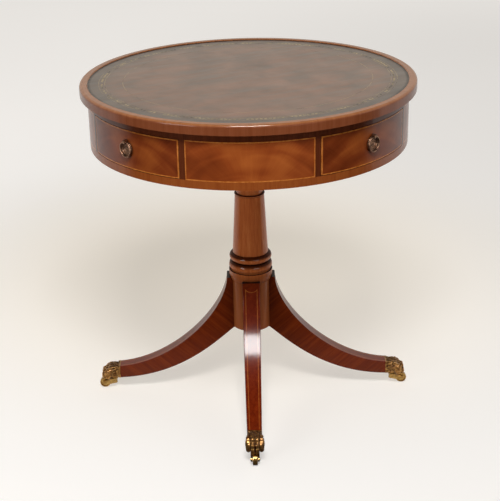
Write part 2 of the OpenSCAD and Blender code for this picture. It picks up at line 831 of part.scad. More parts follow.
// The fork, drawn about its swivel's axis
module castor_fork() {
    inner_w = wheel_w + 2 * wheel_play;
    outer_w = inner_w + 2 * cheek_t;
    throat_r = wheel_d / 2 + toe_gap;
    color(aged_brass) at_swivel() {
        difference() {
            union() {
                translate([0, 0, fork_boss_foot]) cylinder(r = fork_boss_r, h = fork_top - fork_boss_foot);
                translate([0, 0, fork_top - fork_flange_t]) cylinder(r = boss_r, h = fork_flange_t);
                across(outer_w)
                    tapered_link([0, fork_boss_mid], fork_boss_r, [castor_trail, axle_z], cheek_r);
            }
            difference() {
                translate([castor_trail, 0, axle_z]) across(inner_w)
                    polygon(concat(arc([0, 0], throat_r, 90, 270, 24),
                        [[throat_r, -throat_r], [throat_r, throat_r]]));
                translate([castor_trail, 0, axle_z]) across(outer_w) circle(d = axle_d);
            }
        }
        translate([castor_trail, 0, axle_z]) across(outer_w + 2 * axle_head_t) circle(d = axle_d);
        translate([0, 0, fork_top - cut]) cylinder(d = pin_d, h = toe_tenon_z + slide_gap - fork_top + cut);
        translate([0, 0, toe_tenon_z + slide_gap]) cylinder(d = pin_head_d, h = pin_head_t);
    }
}

module castor_wheel() {
    side = [for (i = [0 : 5]) [wheel_d / 2 * wheel_radius_shares[i], wheel_w / 2 * wheel_width_shares[i]]];
    bore = axle_d / 2 + run_fit;
    color(aged_brass) at_swivel() translate([castor_trail, 0, axle_z]) rotate([90, 0, 0]) rotate_extrude()
        polygon(concat([[bore, wheel_w / 2]], side,
            backwards([for (p = side) [p[0], -p[1]]]), [[bore, -wheel_w / 2]]));
}

column();
bearing_block();
pivot_spindle();
spindle_washer();
spindle_nut();
at_leg(0) color(mahogany) leg();  // leg_front_right
at_leg(1) color(mahogany) leg();  // leg_back_right
at_leg(2) color(mahogany) leg();  // leg_back_left
at_leg(3) color(mahogany) leg();  // leg_front_left
leg_stringing();
at_leg(0) castor_cup();  // castor_cup_front_right
at_leg(1) castor_cup();  // castor_cup_back_right
at_leg(2) castor_cup();  // castor_cup_back_left
at_leg(3) castor_cup();  // castor_cup_front_left
cup_screws();
at_leg(0) castor_fork();  // castor_fork_front_right
at_leg(1) castor_fork();  // castor_fork_back_right
at_leg(2) castor_fork();  // castor_fork_back_left
at_leg(3) castor_fork();  // castor_fork_front_left
at_leg(0) castor_wheel();  // castor_wheel_front_right
at_leg(1) castor_wheel();  // castor_wheel_back_right
at_leg(2) castor_wheel();  // castor_wheel_back_left
at_leg(3) castor_wheel();  // castor_wheel_front_left
top_board();
top_rim();
leather_inset();
upper_rail();
lower_rail();
bottom_board();
frieze_stiles();
blank_panels();
panel_stringing();
dividers_front_back();
dividers_left_right();
drawer_runners();
drawer_kickers();
drawer_stops();
hub_block();
at_drawer(0) drawer_face();  // drawer_front_face
at_drawer(1) drawer_face();  // drawer_right_face
at_drawer(2) drawer_face();  // drawer_back_face
at_drawer(3) drawer_face();  // drawer_left_face
at_drawer(0) drawer_box();  // drawer_front_box
at_drawer(1) drawer_box();  // drawer_right_box
at_drawer(2) drawer_box();  // drawer_back_box
at_drawer(3) drawer_box();  // drawer_left_box
at_drawer(0) drawer_stringing();  // drawer_front_stringing
at_drawer(1) drawer_stringing();  // drawer_right_stringing
at_drawer(2) drawer_stringing();  // drawer_back_stringing
at_drawer(3) drawer_stringing();  // drawer_left_stringing
at_drawer(0) pull_plate();  // pull_plate_front
at_drawer(1) pull_plate();  // pull_plate_right
at_drawer(2) pull_plate();  // pull_plate_back
at_drawer(3) pull_plate();  // pull_plate_left
at_drawer(0) pull_ring();  // pull_ring_front
at_drawer(1) pull_ring();  // pull_ring_right
at_drawer(2) pull_ring();  // pull_ring_back
at_drawer(3) pull_ring();  // pull_ring_left
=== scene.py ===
# %% [markdown]
# # A revolving drum table
# The real piece is a small library table: a round drum with a tooled leather
# top turns on a column with four sabre legs. The CAD model gives every solid
# its true size and place, so this lesson only dresses it: it gives each piece
# the finish of its real material, and sculpts what a solid modeller leaves
# plain, such as the cast paws and the gilding.

import math
import random

import bmesh
import bpy
from mathutils import Matrix, Vector, noise


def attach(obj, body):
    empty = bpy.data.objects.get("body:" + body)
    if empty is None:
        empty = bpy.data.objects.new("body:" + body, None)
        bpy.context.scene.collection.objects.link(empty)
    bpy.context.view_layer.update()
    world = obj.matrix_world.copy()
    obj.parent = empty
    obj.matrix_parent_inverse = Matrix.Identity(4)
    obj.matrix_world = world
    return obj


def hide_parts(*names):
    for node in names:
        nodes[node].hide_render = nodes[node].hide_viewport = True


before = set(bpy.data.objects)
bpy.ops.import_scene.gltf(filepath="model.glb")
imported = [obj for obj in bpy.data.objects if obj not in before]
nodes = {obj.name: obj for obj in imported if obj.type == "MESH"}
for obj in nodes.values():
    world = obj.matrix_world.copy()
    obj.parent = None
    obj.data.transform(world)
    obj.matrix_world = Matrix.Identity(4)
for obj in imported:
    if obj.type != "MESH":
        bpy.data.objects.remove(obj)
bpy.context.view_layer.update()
MM = 0.001

# %% [markdown]
# ## The camera
# The photograph was taken with a long lens from a little above the top, with
# one leg pointing at the lens. The position and the lens below were fitted to
# the ellipses of the top and to the feet of the wheels. The picture is a crop,
# so the lens axis isn't at its middle: a small shift of the sensor does that.

# %% Camera
CAMERA_DISTANCE = 2170.1 * MM
CAMERA_HEIGHT = 1207.6 * MM
CAMERA_TURN = math.radians(44.6)
PITCH, YAW, ROLL = (math.radians(a) for a in (22.857, -2.0525, -1.8065))
FOCAL_PIXELS, PICTURE_PIXELS, SHIFT_PIXELS = 1223.49, 501, 40
SENSOR = 36.0

turn = Matrix.Rotation(CAMERA_TURN, 3, "Z")
forward = Vector((math.sin(YAW) * math.cos(PITCH), math.cos(YAW) * math.cos(PITCH), -math.sin(PITCH)))
level = Vector((math.cos(YAW), -math.sin(YAW), 0))
above = level.cross(forward)
across = math.cos(ROLL) * level + math.sin(ROLL) * above
upright = -math.sin(ROLL) * level + math.cos(ROLL) * above

camera = bpy.data.objects.new("camera", bpy.data.cameras.new("camera"))
bpy.context.scene.collection.objects.link(camera)
camera.data.sensor_width = SENSOR
camera.data.lens = SENSOR * FOCAL_PIXELS / PICTURE_PIXELS
camera.data.shift_x = SHIFT_PIXELS / PICTURE_PIXELS
facing = turn @ Matrix((across, upright, -forward)).transposed()
stands_at = turn @ Vector((0, -CAMERA_DISTANCE, CAMERA_HEIGHT))
camera.matrix_world = Matrix.Translation(stands_at) @ facing.to_4x4()
bpy.context.scene.camera = camera
TO_CAMERA = (math.sin(CAMERA_TURN), -math.cos(CAMERA_TURN), 0)
print("lens", round(camera.data.lens, 1), "mm")

# %% [markdown]
# ## Colours and nodes
# Paint charts and pictures give colours as sRGB hex values, while Blender mixes
# light in linear values, so one function turns the first into the second. A
# second small function adds a shader node with its settings, its input values
# and its links in one line, which keeps the materials readable.

# %% Helpers for materials
def srgb(code):
    """A hex colour as linear red, green, blue and alpha"""
    parts = [int(code[i:i + 2], 16) / 255 for i in (1, 3, 5)]
    return tuple(p / 12.92 if p <= 0.04045 else ((p + 0.055) / 1.055) ** 2.4 for p in parts) + (1.0,)


def add(tree, kind, inputs=None, stops=None, **settings):
    """A new shader node; inputs are values or other nodes, stops are a ramp's places and colours"""
    node = tree.nodes.new("ShaderNode" + kind)
    for name, value in settings.items():
        setattr(node, name, value)
    for name, value in (inputs or {}).items():
        if isinstance(value, bpy.types.Node):
            value = value.outputs[0]
        if isinstance(value, bpy.types.NodeSocket):
            tree.links.new(value, node.inputs[name])
        else:
            node.inputs[name].default_value = value
    for i, (place, code) in enumerate(stops or []):
        points = node.color_ramp.elements
        point = points[i] if i < 2 else points.new(place)
        point.position, point.color = place, srgb(code)
    return node


def start_material(name, roughness, **sockets):
    """A material with its node tree and its Principled shader, whose sockets get these values"""
    material = bpy.data.materials.new(name)
    material.use_nodes = True
    shader = material.node_tree.nodes["Principled BSDF"]
    shader.inputs["Roughness"].default_value = roughness
    for socket, value in sockets.items():
        shader.inputs[socket.replace("_", " ")].default_value = value
    return material, material.node_tree, shader


def dress(material, *names):
    """Gives CAD nodes a material"""
    for name in names:
        piece = nodes[name]
        piece.data.materials.clear()
        piece.data.materials.append(material)
    print(material.name, "on", len(names), "nodes")


SIDES = ("front", "right", "back", "left")
LEGS = ("front_right", "back_right", "back_left", "front_left")

# %% [markdown]
# ## Which way the grain runs
# Wood looks like wood only when its grain follows the board it was cut from. In
# the column it stands upright, and in a sabre leg it runs along the leg. The
# rim and the rails are crossbanded: short pieces of veneer whose grain points
# out over the rim and down its edge. Each function here builds a vector whose
# first part, in metres, runs along the grain. They start from the object's own
# coordinates, so the grain stays put when a body moves.

# %% Grain directions
LEG_SLOPE = math.radians(42)
BAND_RADIUS = 300 * MM
VENEERS_ROUND, FIRST_SEAM, VENEER_STEP = 12, 0.3, 1.7
HALF_ROOT = math.sqrt(0.5)


def grain_level(tree):
    """Grain along X, for boards"""
    return add(tree, "TexCoord").outputs["Object"]


def grain_upright(tree):
    """Grain along Z, for the column"""
    place = add(tree, "SeparateXYZ", {0: add(tree, "TexCoord").outputs["Object"]})
    return add(tree, "CombineXYZ", {0: place.outputs[2], 1: place.outputs[0], 2: place.outputs[1]})


def grain_crossband(tree):
    """Grain that points outwards and then down, with a new piece of veneer every 30 degrees"""
    place = add(tree, "TexCoord").outputs["Object"]
    apart = add(tree, "SeparateXYZ", {0: place})
    flat = add(tree, "VectorMath", {0: place, 1: (1, 1, 0)}, operation="MULTIPLY")
    out = add(tree, "VectorMath", {0: flat}, operation="LENGTH").outputs["Value"]
    round_it = add(tree, "VectorMath", {0: flat}, operation="NORMALIZE")
    on_band = add(tree, "VectorMath", {0: round_it, 1: (BAND_RADIUS,) * 3}, operation="MULTIPLY")
    arc = add(tree, "SeparateXYZ", {0: on_band})
    angle = add(tree, "Math", {0: apart.outputs[1], 1: apart.outputs[0]}, operation="ARCTAN2")
    turns = add(tree, "Math", {0: angle, 1: VENEERS_ROUND / (2 * math.pi), 2: FIRST_SEAM},
                operation="MULTIPLY_ADD")
    piece = add(tree, "Math", {0: turns}, operation="FLOOR")
    run = add(tree, "Math", {0: apart.outputs[2], 1: out}, operation="SUBTRACT")
    along = add(tree, "Math", {0: piece, 1: VENEER_STEP, 2: run}, operation="MULTIPLY_ADD")
    return add(tree, "CombineXYZ", {0: along, 1: arc.outputs[0], 2: arc.outputs[1]})


def quarter(tree, turn=0.0):
    """For four like parts on the diagonals: the way out, the way aside, the height and the part's number"""
    place = add(tree, "TexCoord").outputs["Object"]
    turned = add(tree, "VectorRotate", {"Vector": place, "Angle": turn}, rotation_type="Z_AXIS")
    apart = add(tree, "SeparateXYZ", {0: turned})
    side_x = add(tree, "Math", {0: apart.outputs[0]}, operation="ABSOLUTE")
    side_y = add(tree, "Math", {0: apart.outputs[1]}, operation="ABSOLUTE")
    total = add(tree, "Math", {0: side_x, 1: side_y}, operation="ADD")
    out = add(tree, "Math", {0: total, 1: HALF_ROOT}, operation="MULTIPLY")
    rest = add(tree, "Math", {0: side_x, 1: side_y}, operation="SUBTRACT")
    aside = add(tree, "Math", {0: rest, 1: HALF_ROOT}, operation="MULTIPLY")
    way_x = add(tree, "Math", {0: apart.outputs[0]}, operation="SIGN")
    way_y = add(tree, "Math", {0: apart.outputs[1]}, operation="SIGN")
    part = add(tree, "Math", {0: way_y, 1: 2.0, 2: way_x}, operation="MULTIPLY_ADD")
    return out, aside, apart.outputs[2], part


def grain_leg(tree):
    """Grain along the slope of a sabre leg, each leg from its own stretch of the plank"""
    out, aside, height, part = quarter(tree)
    local = add(tree, "CombineXYZ", {0: out, 1: aside, 2: height})
    turned = add(tree, "VectorRotate", {"Vector": local, "Angle": LEG_SLOPE}, rotation_type="Y_AXIS")
    offset = add(tree, "CombineXYZ", {0: part, 1: 0.0, 2: 0.0})
    return add(tree, "VectorMath", {0: turned, 1: offset}, operation="ADD")


def streaks(tree, vector, run, width, detail=3.0, distortion=0.0):
    """A pattern as long as run along the grain and as wide as width across it"""
    scaled = add(tree, "VectorMath", {0: vector, 1: (1 / run, 1 / width, 1 / width)}, operation="MULTIPLY")
    return add(tree, "TexNoise", {"Vector": scaled, "Scale": 1.0, "Detail": detail, "Distortion": distortion})


# %% [markdown]
# ## French polish, age and painted shade
# French polish is many thin films of shellac, rubbed to a soft gloss: clear,
# warm, and never quite flat. So the wood itself gives next to no gloss, and
# nearly all of it comes from the shellac, which is a coat over the wood. Wood
# darkens in hollows, partly where old polish and wax gather, and partly by
# painted shade in corners and between parts. Ambient occlusion measures how
# deep in a hollow a point lies, so it can do that darkening on any shape.

# %% Polish, age and painted shade
POLISH_WAVE, POLISH_WAVE_HEIGHT = 22 * MM, 0.25 * MM
GRIME_AND_SHADE_REACH = 14 * MM
SHELLAC = {"Coat_Weight": 0.6, "Coat_IOR": 1.52, "Coat_Roughness": 0.13, "IOR": 1.5,
           "Specular_IOR_Level": 0.04}


def darken_hollows(tree, wood, reach):
    """The wood's colour, darker in hollows: partly old polish and wax, partly painted shade"""
    hollow = add(tree, "AmbientOcclusion", {"Distance": reach}, samples=8).outputs["AO"]
    clean = add(tree, "MapRange", {"Value": hollow, "From Min": 0.4, "From Max": 0.92, "To Min": 0.2})
    shade = add(tree, "CombineColor", {0: clean, 1: clean, 2: clean})
    return add(tree, "Mix", {0: 1.0, 6: wood, 7: shade}, data_type="RGBA", blend_type="MULTIPLY").outputs[2]


def polish_bump(tree, shader, fibres, depth):
    """Fibres that telegraph through the polish, over a slow wave of the film"""
    place = add(tree, "TexCoord").outputs["Object"]
    wave = add(tree, "TexNoise", {"Vector": place, "Scale": 1 / POLISH_WAVE, "Detail": 1.0})
    slow = add(tree, "Bump", {"Height": wave, "Strength": 0.3, "Distance": POLISH_WAVE_HEIGHT})
    fine = add(tree, "Bump", {"Height": fibres, "Strength": 0.3, "Distance": depth, "Normal": slow})
    tree.links.new(fine.outputs[0], shader.inputs["Normal"])
    tree.links.new(slow.outputs[0], shader.inputs["Coat Normal"])


# %% [markdown]
# ## Painted shade by place
# Some shade is painted into the wood by place. The post below the turned rings
# is painted darker than the shaft, a painted shade, and the flat heads of the
# legs are painted dark, a painted shadow from the collar. Each function here
# gives a shade that darkens the colour and dulls the gloss together, by the
# height above the floor.

# %% Shades
POST_TOP, COLLAR_TOP, POST_SHADE = 250 * MM, 257 * MM, 0.72
LEG_HEAD, LEG_HEAD_DEPTH, LEG_HEAD_SHADE = 242 * MM, 0.4 * MM, 0.3


def no_shade_by_place(tree):
    """The same everywhere"""
    return 1.0


def below_rings(tree):
    """Painted shade, darker on the post and its collar"""
    place = add(tree, "SeparateXYZ", {0: add(tree, "TexCoord").outputs["Object"]})
    return add(tree, "MapRange", {"Value": place.outputs[2], "From Min": POST_TOP, "From Max": COLLAR_TOP,
                                  "To Min": POST_SHADE})


def at_leg_heads(tree):
    """Painted shadow, darker on the flat heads of the legs under the collar"""
    place = add(tree, "SeparateXYZ", {0: add(tree, "TexCoord").outputs["Object"]})
    return add(tree, "MapRange", {"Value": place.outputs[2], "From Min": LEG_HEAD - LEG_HEAD_DEPTH,
                                  "From Max": LEG_HEAD, "To Min": 1.0, "To Max": LEG_HEAD_SHADE})


# %% [markdown]
# ## Mahogany
# Mahogany is a red-brown wood with long ribbons a few millimetres wide and
# short dark pores. The pores are 0.2 mm wide; they are drawn 0.7 mm wide, or
# the render loses them. Noise that is stretched along the grain draws the
# ribbons, the fibres and the pores, with no seam at the end of a board.
# Surfaces that face up get a tint of their own: the crown of the rim is painted
# pale, a painted highlight, and the tops of the turned rings are painted nearly
# black, a painted shade under the drum, while the tops of the legs are a little
# darker and redder.
# Such a ledge is told by how far its normal points up, and is given as four
# values: where it starts, where it is full, its tint and its share of the
# gloss.

# %% Mahogany
RIBBON, RIBBON_RUN = 9 * MM, 240 * MM
FIBRE, FIBRE_RUN = 1.6 * MM, 45 * MM
PORE, PORE_RUN = 0.7 * MM, 9 * MM
FIBRE_HEIGHT = 0.05 * MM
NO_LEDGE = (0, 1, (1, 1, 1), 1)


def mahogany(name, grain, dark, middle, light, reach=GRIME_AND_SHADE_REACH, shade_by_place=no_shade_by_place, ledge=NO_LEDGE):
    """Plain sawn mahogany in three tones, from the dark pores to the light ribbons"""
    ledge_starts, ledge_full, ledge_tint, ledge_gloss = ledge
    material, tree, shader = start_material(name, 0.4, **SHELLAC)
    vector = grain(tree)
    ribbons = streaks(tree, vector, RIBBON_RUN, RIBBON, 4.0, 0.6)
    fibres = streaks(tree, vector, FIBRE_RUN, FIBRE)
    pores = streaks(tree, vector, PORE_RUN, PORE, 1.0)
    both = add(tree, "Mix", {0: 0.38, 2: ribbons, 3: fibres}, data_type="FLOAT")
    wood = add(tree, "ValToRGB", {0: both}, stops=[(0.3, dark), (0.7, light), (0.5, middle)])
    open_pores = add(tree, "MapRange", {"Value": pores, "From Min": 0.62, "From Max": 0.74, "To Max": 0.5})
    colour = add(tree, "Mix", {0: open_pores, 6: wood, 7: srgb(dark)}, data_type="RGBA")
    facing = add(tree, "SeparateXYZ", {0: add(tree, "NewGeometry").outputs["Normal"]})
    upward = add(tree, "MapRange", {"Value": facing.outputs[2], "From Min": ledge_starts,
                                    "From Max": ledge_full})
    # The ledge tint paints light or shade on surfaces facing up: a highlight on the rim's crown, shade on the
    # ring tops.
    tint = add(tree, "Mix", {0: upward, 6: (1, 1, 1, 1), 7: (*ledge_tint, 1)}, data_type="RGBA")
    clean = darken_hollows(tree, colour.outputs[2], reach)
    tinted = add(tree, "Mix", {0: 1.0, 6: clean, 7: tint.outputs[2]}, data_type="RGBA", blend_type="MULTIPLY")
    shade = shade_by_place(tree)
    shaded = add(tree, "VectorMath", {0: tinted.outputs[2], "Scale": shade}, operation="SCALE")
    tree.links.new(shaded.outputs[0], shader.inputs["Base Color"])
    weight = SHELLAC["Coat_Weight"]
    film = add(tree, "MapRange", {"Value": upward, "To Min": weight, "To Max": weight * ledge_gloss})
    gloss = add(tree, "Math", {0: film, 1: shade}, operation="MULTIPLY")
    tree.links.new(gloss.outputs[0], shader.inputs["Coat Weight"])
    polish_bump(tree, shader, fibres, FIBRE_HEIGHT)
    return material


# %% Mahogany of each part
# Painted light on the ledges: the ring tops get a painted shade and the rim's crown a painted highlight. Each
# reach is how far the darkening in hollows goes, partly painted shade.
PAINTED_RING_TOP_SHADE = (0.1, 0.5, (0.14, 0.1, 0.08), 0.15)
LEG_TOPS = (0.03, 0.25, (0.85, 0.6, 0.6), 1)
PAINTED_CROWN_HIGHLIGHT = (0.25, 0.7, (1.46, 1.96, 2.0), 1.1)
COLUMN_REACH, LEG_REACH, STILE_REACH = 30 * MM, 60 * MM, 2 * MM
column_wood = mahogany("mahogany_turned", grain_upright, "#ad532a", "#c46a36", "#d17b44", COLUMN_REACH,
                       below_rings, PAINTED_RING_TOP_SHADE)
leg_wood = mahogany("mahogany_sawn_leg", grain_leg, "#5b1d06", "#72290a", "#883812", LEG_REACH,
                    at_leg_heads, LEG_TOPS)
rim_wood = mahogany("mahogany_crossbanded", grain_crossband, "#733b1f", "#7d4327", "#854a2e",
                    ledge=PAINTED_CROWN_HIGHLIGHT)
rail_wood = mahogany("mahogany_rail", grain_crossband, "#854019", "#904a1f", "#985223")
stile_wood = mahogany("mahogany_stile", grain_crossband, "#4b1f0d", "#592812", "#663017", STILE_REACH)
dress(column_wood, "column", "bearing_block")
dress(rim_wood, "top_rim")
dress(rail_wood, "lower_rail")
dress(stile_wood, "upper_rail", "frieze_stiles")

# %% [markdown]
# ## Flame veneer on the drum
# The panels and drawer fronts are crotch veneer, sawn where a branch left the
# trunk. Its figure is a plume: broad arches that shimmer between orange and
# dark brown, crossed by rays that fan out from its foot, and darker towards the
# corners. Plain noise follows no such lines, so the plume gets two measures of
# its own. An arch is a parabola, so the height plus a share of the squared
# distance from the middle is constant along it. A ray has a constant angle
# about a point under the panel. Noise in these two draws the plume, and soft
# clouds keep it from looking ruled.

# %% Flame mahogany
ARCH = 4.0
ARCH_WIDTH, ARCH_RUN = 30 * MM, 120 * MM
FAN_FOOT = 500 * MM
FAN_RADIUS, RAY_WIDTH, RAY_RUN = 80 * MM, 17 * MM, 130 * MM
VENEER_FIBRE, VENEER_FIBRE_RUN, VENEER_FIBRE_HEIGHT = 1.4 * MM, 30 * MM, 0.04 * MM
CLOUD = 45 * MM
CORNER, CORNER_SHADE = (35 * MM, 105 * MM), 0.12


def flame(name, turn, dark, middle, light):
    """Veneer whose plumes stand on the diagonals, after a turn of the drum by this angle"""
    material, tree, shader = start_material(name, 0.38, **SHELLAC)
    _, aside, height, part = quarter(tree, turn)
    squared = add(tree, "Math", {0: aside, 1: aside}, operation="MULTIPLY")
    arch = add(tree, "Math", {0: squared, 1: ARCH, 2: height}, operation="MULTIPLY_ADD")
    arch_place = add(tree, "CombineXYZ", {0: aside, 1: arch, 2: part})
    arches = streaks(tree, arch_place, ARCH_RUN, ARCH_WIDTH, 2.0, 0.5)
    fan_height = add(tree, "Math", {0: height, 1: FAN_FOOT}, operation="SUBTRACT")
    angle = add(tree, "Math", {0: aside, 1: fan_height}, operation="ARCTAN2")
    across = add(tree, "Math", {0: angle, 1: FAN_RADIUS}, operation="MULTIPLY")
    fan_place = add(tree, "CombineXYZ", {0: fan_height, 1: across, 2: part})
    rays = streaks(tree, fan_place, RAY_RUN, RAY_WIDTH, 3.0, 0.2)
    fibres = streaks(tree, fan_place, VENEER_FIBRE_RUN, VENEER_FIBRE)
    flat_place = add(tree, "CombineXYZ", {0: aside, 1: height, 2: part})
    cloud = add(tree, "TexNoise", {"Vector": flat_place, "Scale": 1 / CLOUD, "Detail": 1.0})
    bands = add(tree, "Mix", {0: 0.2, 2: arches, 3: rays}, data_type="FLOAT")
    plume = add(tree, "Mix", {0: 0.35, 2: bands, 3: cloud}, data_type="FLOAT")
    figure = add(tree, "Mix", {0: 0.08, 2: plume, 3: fibres}, data_type="FLOAT")
    from_middle = add(tree, "Math", {0: squared}, operation="SQRT")
    corner = add(tree, "MapRange", {"Value": from_middle, "From Min": CORNER[0], "From Max": CORNER[1],
                                    "To Max": CORNER_SHADE})
    shade = add(tree, "Math", {0: figure, 1: corner}, operation="SUBTRACT")
    wood = add(tree, "ValToRGB", {0: shade}, stops=[(0.32, dark), (0.62, light), (0.47, middle)])
    tree.links.new(darken_hollows(tree, wood, GRIME_AND_SHADE_REACH), shader.inputs["Base Color"])
    polish_bump(tree, shader, fibres, VENEER_FIBRE_HEIGHT)
    return material


panel_veneer = flame("flame_veneer_panels", 0.0, "#713112", "#8c411a", "#a85926")
drawer_veneer = flame("flame_veneer_drawers", math.pi / 4, "#5f260c", "#7a3615", "#974e20")
dress(panel_veneer, "blank_panels")
dress(drawer_veneer, *["drawer_%s_face" % side for side in SIDES])

# %% [markdown]
# ## Satinwood strings and pine boards
# The strings are 2 mm strips of satinwood, a pale gold wood that the polish
# turns to honey, and that handling turns darker on the legs. They are solids of
# their own in the CAD model, and too narrow to show a figure, so a fleck does
# for their grain. The insides are pine or a like softwood, planed and left
# bare: no coat, a rough surface, and yellow-brown bands a few millimetres
# apart.

# %% Satinwood
FLECK, FLECK_HEIGHT = 6 * MM, 0.02 * MM


def string_inlay(name, dark, light):
    """Thin strips of satinwood, flecked, under the same polish"""
    material, tree, shader = start_material(name, 0.4, **SHELLAC)
    place = add(tree, "TexCoord").outputs["Object"]
    flecks = add(tree, "TexNoise", {"Vector": place, "Scale": 1 / FLECK, "Detail": 2.0})
    wood = add(tree, "ValToRGB", {0: flecks}, stops=[(0.3, dark), (0.7, light)])
    tree.links.new(wood.outputs[0], shader.inputs["Base Color"])
    polish_bump(tree, shader, flecks, FLECK_HEIGHT)
    return material


drum_string = string_inlay("satinwood_string", "#a4581f", "#cd7d3a")
leg_string = string_inlay("satinwood_string_darkened", "#8a4218", "#a95c28")
dress(drum_string, "panel_stringing", *["drawer_%s_stringing" % side for side in SIDES])

# %% Pine
PINE_BAND, PINE_BAND_RUN = 7 * MM, 400 * MM
PINE_THREAD, PINE_THREAD_RUN, PINE_THREAD_HEIGHT = 1 * MM, 60 * MM, 0.08 * MM
pine, tree, shader = start_material("planed_pine", 0.62, IOR=1.5, Specular_IOR_Level=0.3)
vector = grain_level(tree)
bands = streaks(tree, vector, PINE_BAND_RUN, PINE_BAND, 2.0, 0.5)
threads = streaks(tree, vector, PINE_THREAD_RUN, PINE_THREAD)
both = add(tree, "Mix", {0: 0.3, 2: bands, 3: threads}, data_type="FLOAT")
wood = add(tree, "ValToRGB", {0: both}, stops=[(0.35, "#9c7347"), (0.65, "#c7a272"), (0.5, "#b48b5b")])
tree.links.new(wood.outputs[0], shader.inputs["Base Color"])
rough = add(tree, "Bump", {"Height": threads, "Strength": 0.4, "Distance": PINE_THREAD_HEIGHT})
tree.links.new(rough.outputs[0], shader.inputs["Normal"])
dress(pine, "top_board", "bottom_board", "dividers_front_back", "dividers_left_right", "drawer_runners",
      "drawer_kickers", "drawer_stops", "hub_block", *["drawer_%s_box" % side for side in SIDES])

# %% [markdown]
# ## The leather
# The writing surface is one hide of aniline-dyed leather, glazed and worn. It
# is red-brown in the middle, and darker and greyer outside the gilt band. Along
# the rim it is painted darkest, a painted shade beside the raised rim, with less
# glaze. Polishing cloths leave long wipes across it. Old leather has three
# scales of relief: pores about a millimetre apart, the wipes, and slack folds
# from the pasting. None is deep enough to change the outline of the flat disc,
# so all three are bumps in the material.

# %% Colour of the leather
DARK_DYE, DYE_WANDER = (255 * MM, 290 * MM), 30 * MM
SHADED_EDGE, EDGE_SHADE = (284 * MM, 288 * MM), 0.35
MOTTLE = 50 * MM
WIPE_WIDTH, WIPE_RUN, WIPE_ANGLE = 11 * MM, 80 * MM, math.radians(-75)
hide, tree, shader = start_material("aniline_leather", 0.42, IOR=1.5, Coat_Roughness=0.28)
object_place = add(tree, "TexCoord").outputs["Object"]
out = add(tree, "VectorMath", {0: object_place, 1: (1, 1, 0)}, operation="MULTIPLY")
radius = add(tree, "VectorMath", {0: out}, operation="LENGTH").outputs["Value"]
along = add(tree, "VectorRotate", {"Vector": object_place, "Angle": WIPE_ANGLE}, rotation_type="Z_AXIS")
mottle = add(tree, "TexNoise", {"Vector": object_place, "Scale": 1 / MOTTLE, "Detail": 5.0,
                                "Distortion": 0.3})
wipes = streaks(tree, along, WIPE_RUN, WIPE_WIDTH, 4.0, 0.5)
both = add(tree, "Mix", {0: 0.45, 2: mottle, 3: wipes}, data_type="FLOAT")
middle = add(tree, "ValToRGB", {0: both}, stops=[(0.36, "#553e30"), (0.64, "#7e5139"), (0.5, "#6a4733")])
border = add(tree, "ValToRGB", {0: both}, stops=[(0.36, "#302621"), (0.64, "#533e31")])
wander = add(tree, "Math", {0: mottle, 1: DYE_WANDER, 2: radius}, operation="MULTIPLY_ADD")
edge = add(tree, "MapRange", {"Value": wander, "From Min": DARK_DYE[0], "From Max": DARK_DYE[1]})
dyed = add(tree, "Mix", {0: edge, 6: middle, 7: border}, data_type="RGBA")
# Painted shade along the rim: the colour and the glaze are darker there.
rim_line = add(tree, "MapRange", {"Value": radius, "From Min": SHADED_EDGE[0], "From Max": SHADED_EDGE[1],
                                  "To Min": 1.0, "To Max": EDGE_SHADE})
hide_colour = add(tree, "VectorMath", {0: dyed.outputs[2], "Scale": rim_line}, operation="SCALE")
tree.links.new(hide_colour.outputs[0], shader.inputs["Base Color"])
print(hide.name, "has its colour")

# %% Glaze and relief of the leather
PORE_SPACING, PORE_DEPTH = 1.3 * MM, 0.06 * MM
FOLD, FOLD_DEPTH = 38 * MM, 0.5 * MM
WIPE_DEPTH = 0.14 * MM
glaze = add(tree, "MapRange", {"Value": both, "From Min": 0.36, "From Max": 0.64, "To Min": 0.46,
                               "To Max": 0.6})
film = add(tree, "Math", {0: glaze, 1: rim_line}, operation="MULTIPLY")
tree.links.new(film.outputs[0], shader.inputs["Coat Weight"])
gloss = add(tree, "MapRange", {"Value": wipes, "From Min": 0.3, "From Max": 0.7, "To Min": 0.34,
                               "To Max": 0.5})
tree.links.new(gloss.outputs[0], shader.inputs["Roughness"])
pebbles = add(tree, "TexVoronoi", {"Vector": object_place, "Scale": 1 / PORE_SPACING})
folds = add(tree, "TexNoise", {"Vector": along, "Scale": 1 / FOLD, "Detail": 2.0, "Distortion": 0.8})
deep = add(tree, "Bump", {"Height": folds, "Strength": 0.5, "Distance": FOLD_DEPTH})
lines = add(tree, "Bump", {"Height": wipes, "Strength": 0.8, "Distance": WIPE_DEPTH, "Normal": deep})
pores = add(tree, "Bump", {"Height": pebbles, "Strength": 0.35, "Distance": PORE_DEPTH, "Normal": lines})
tree.links.new(pores.outputs[0], shader.inputs["Normal"])
dress(hide, "leather_inset")

# %% [markdown]
# ## Gold tooling
# A bookbinder rolls hot brass wheels over gold leaf: one leaves a fine line,
# another a chain of leaves. Years of sleeves rub most of it away. It could be
# drawn in the leather's nodes, but here it is thin raised geometry, part of the
# meshes. Its material mixes gold leaf by a noise with the dark dirt that fills
# the print where the gold has gone, which is how wear looks, and some leaves are
# left out altogether.

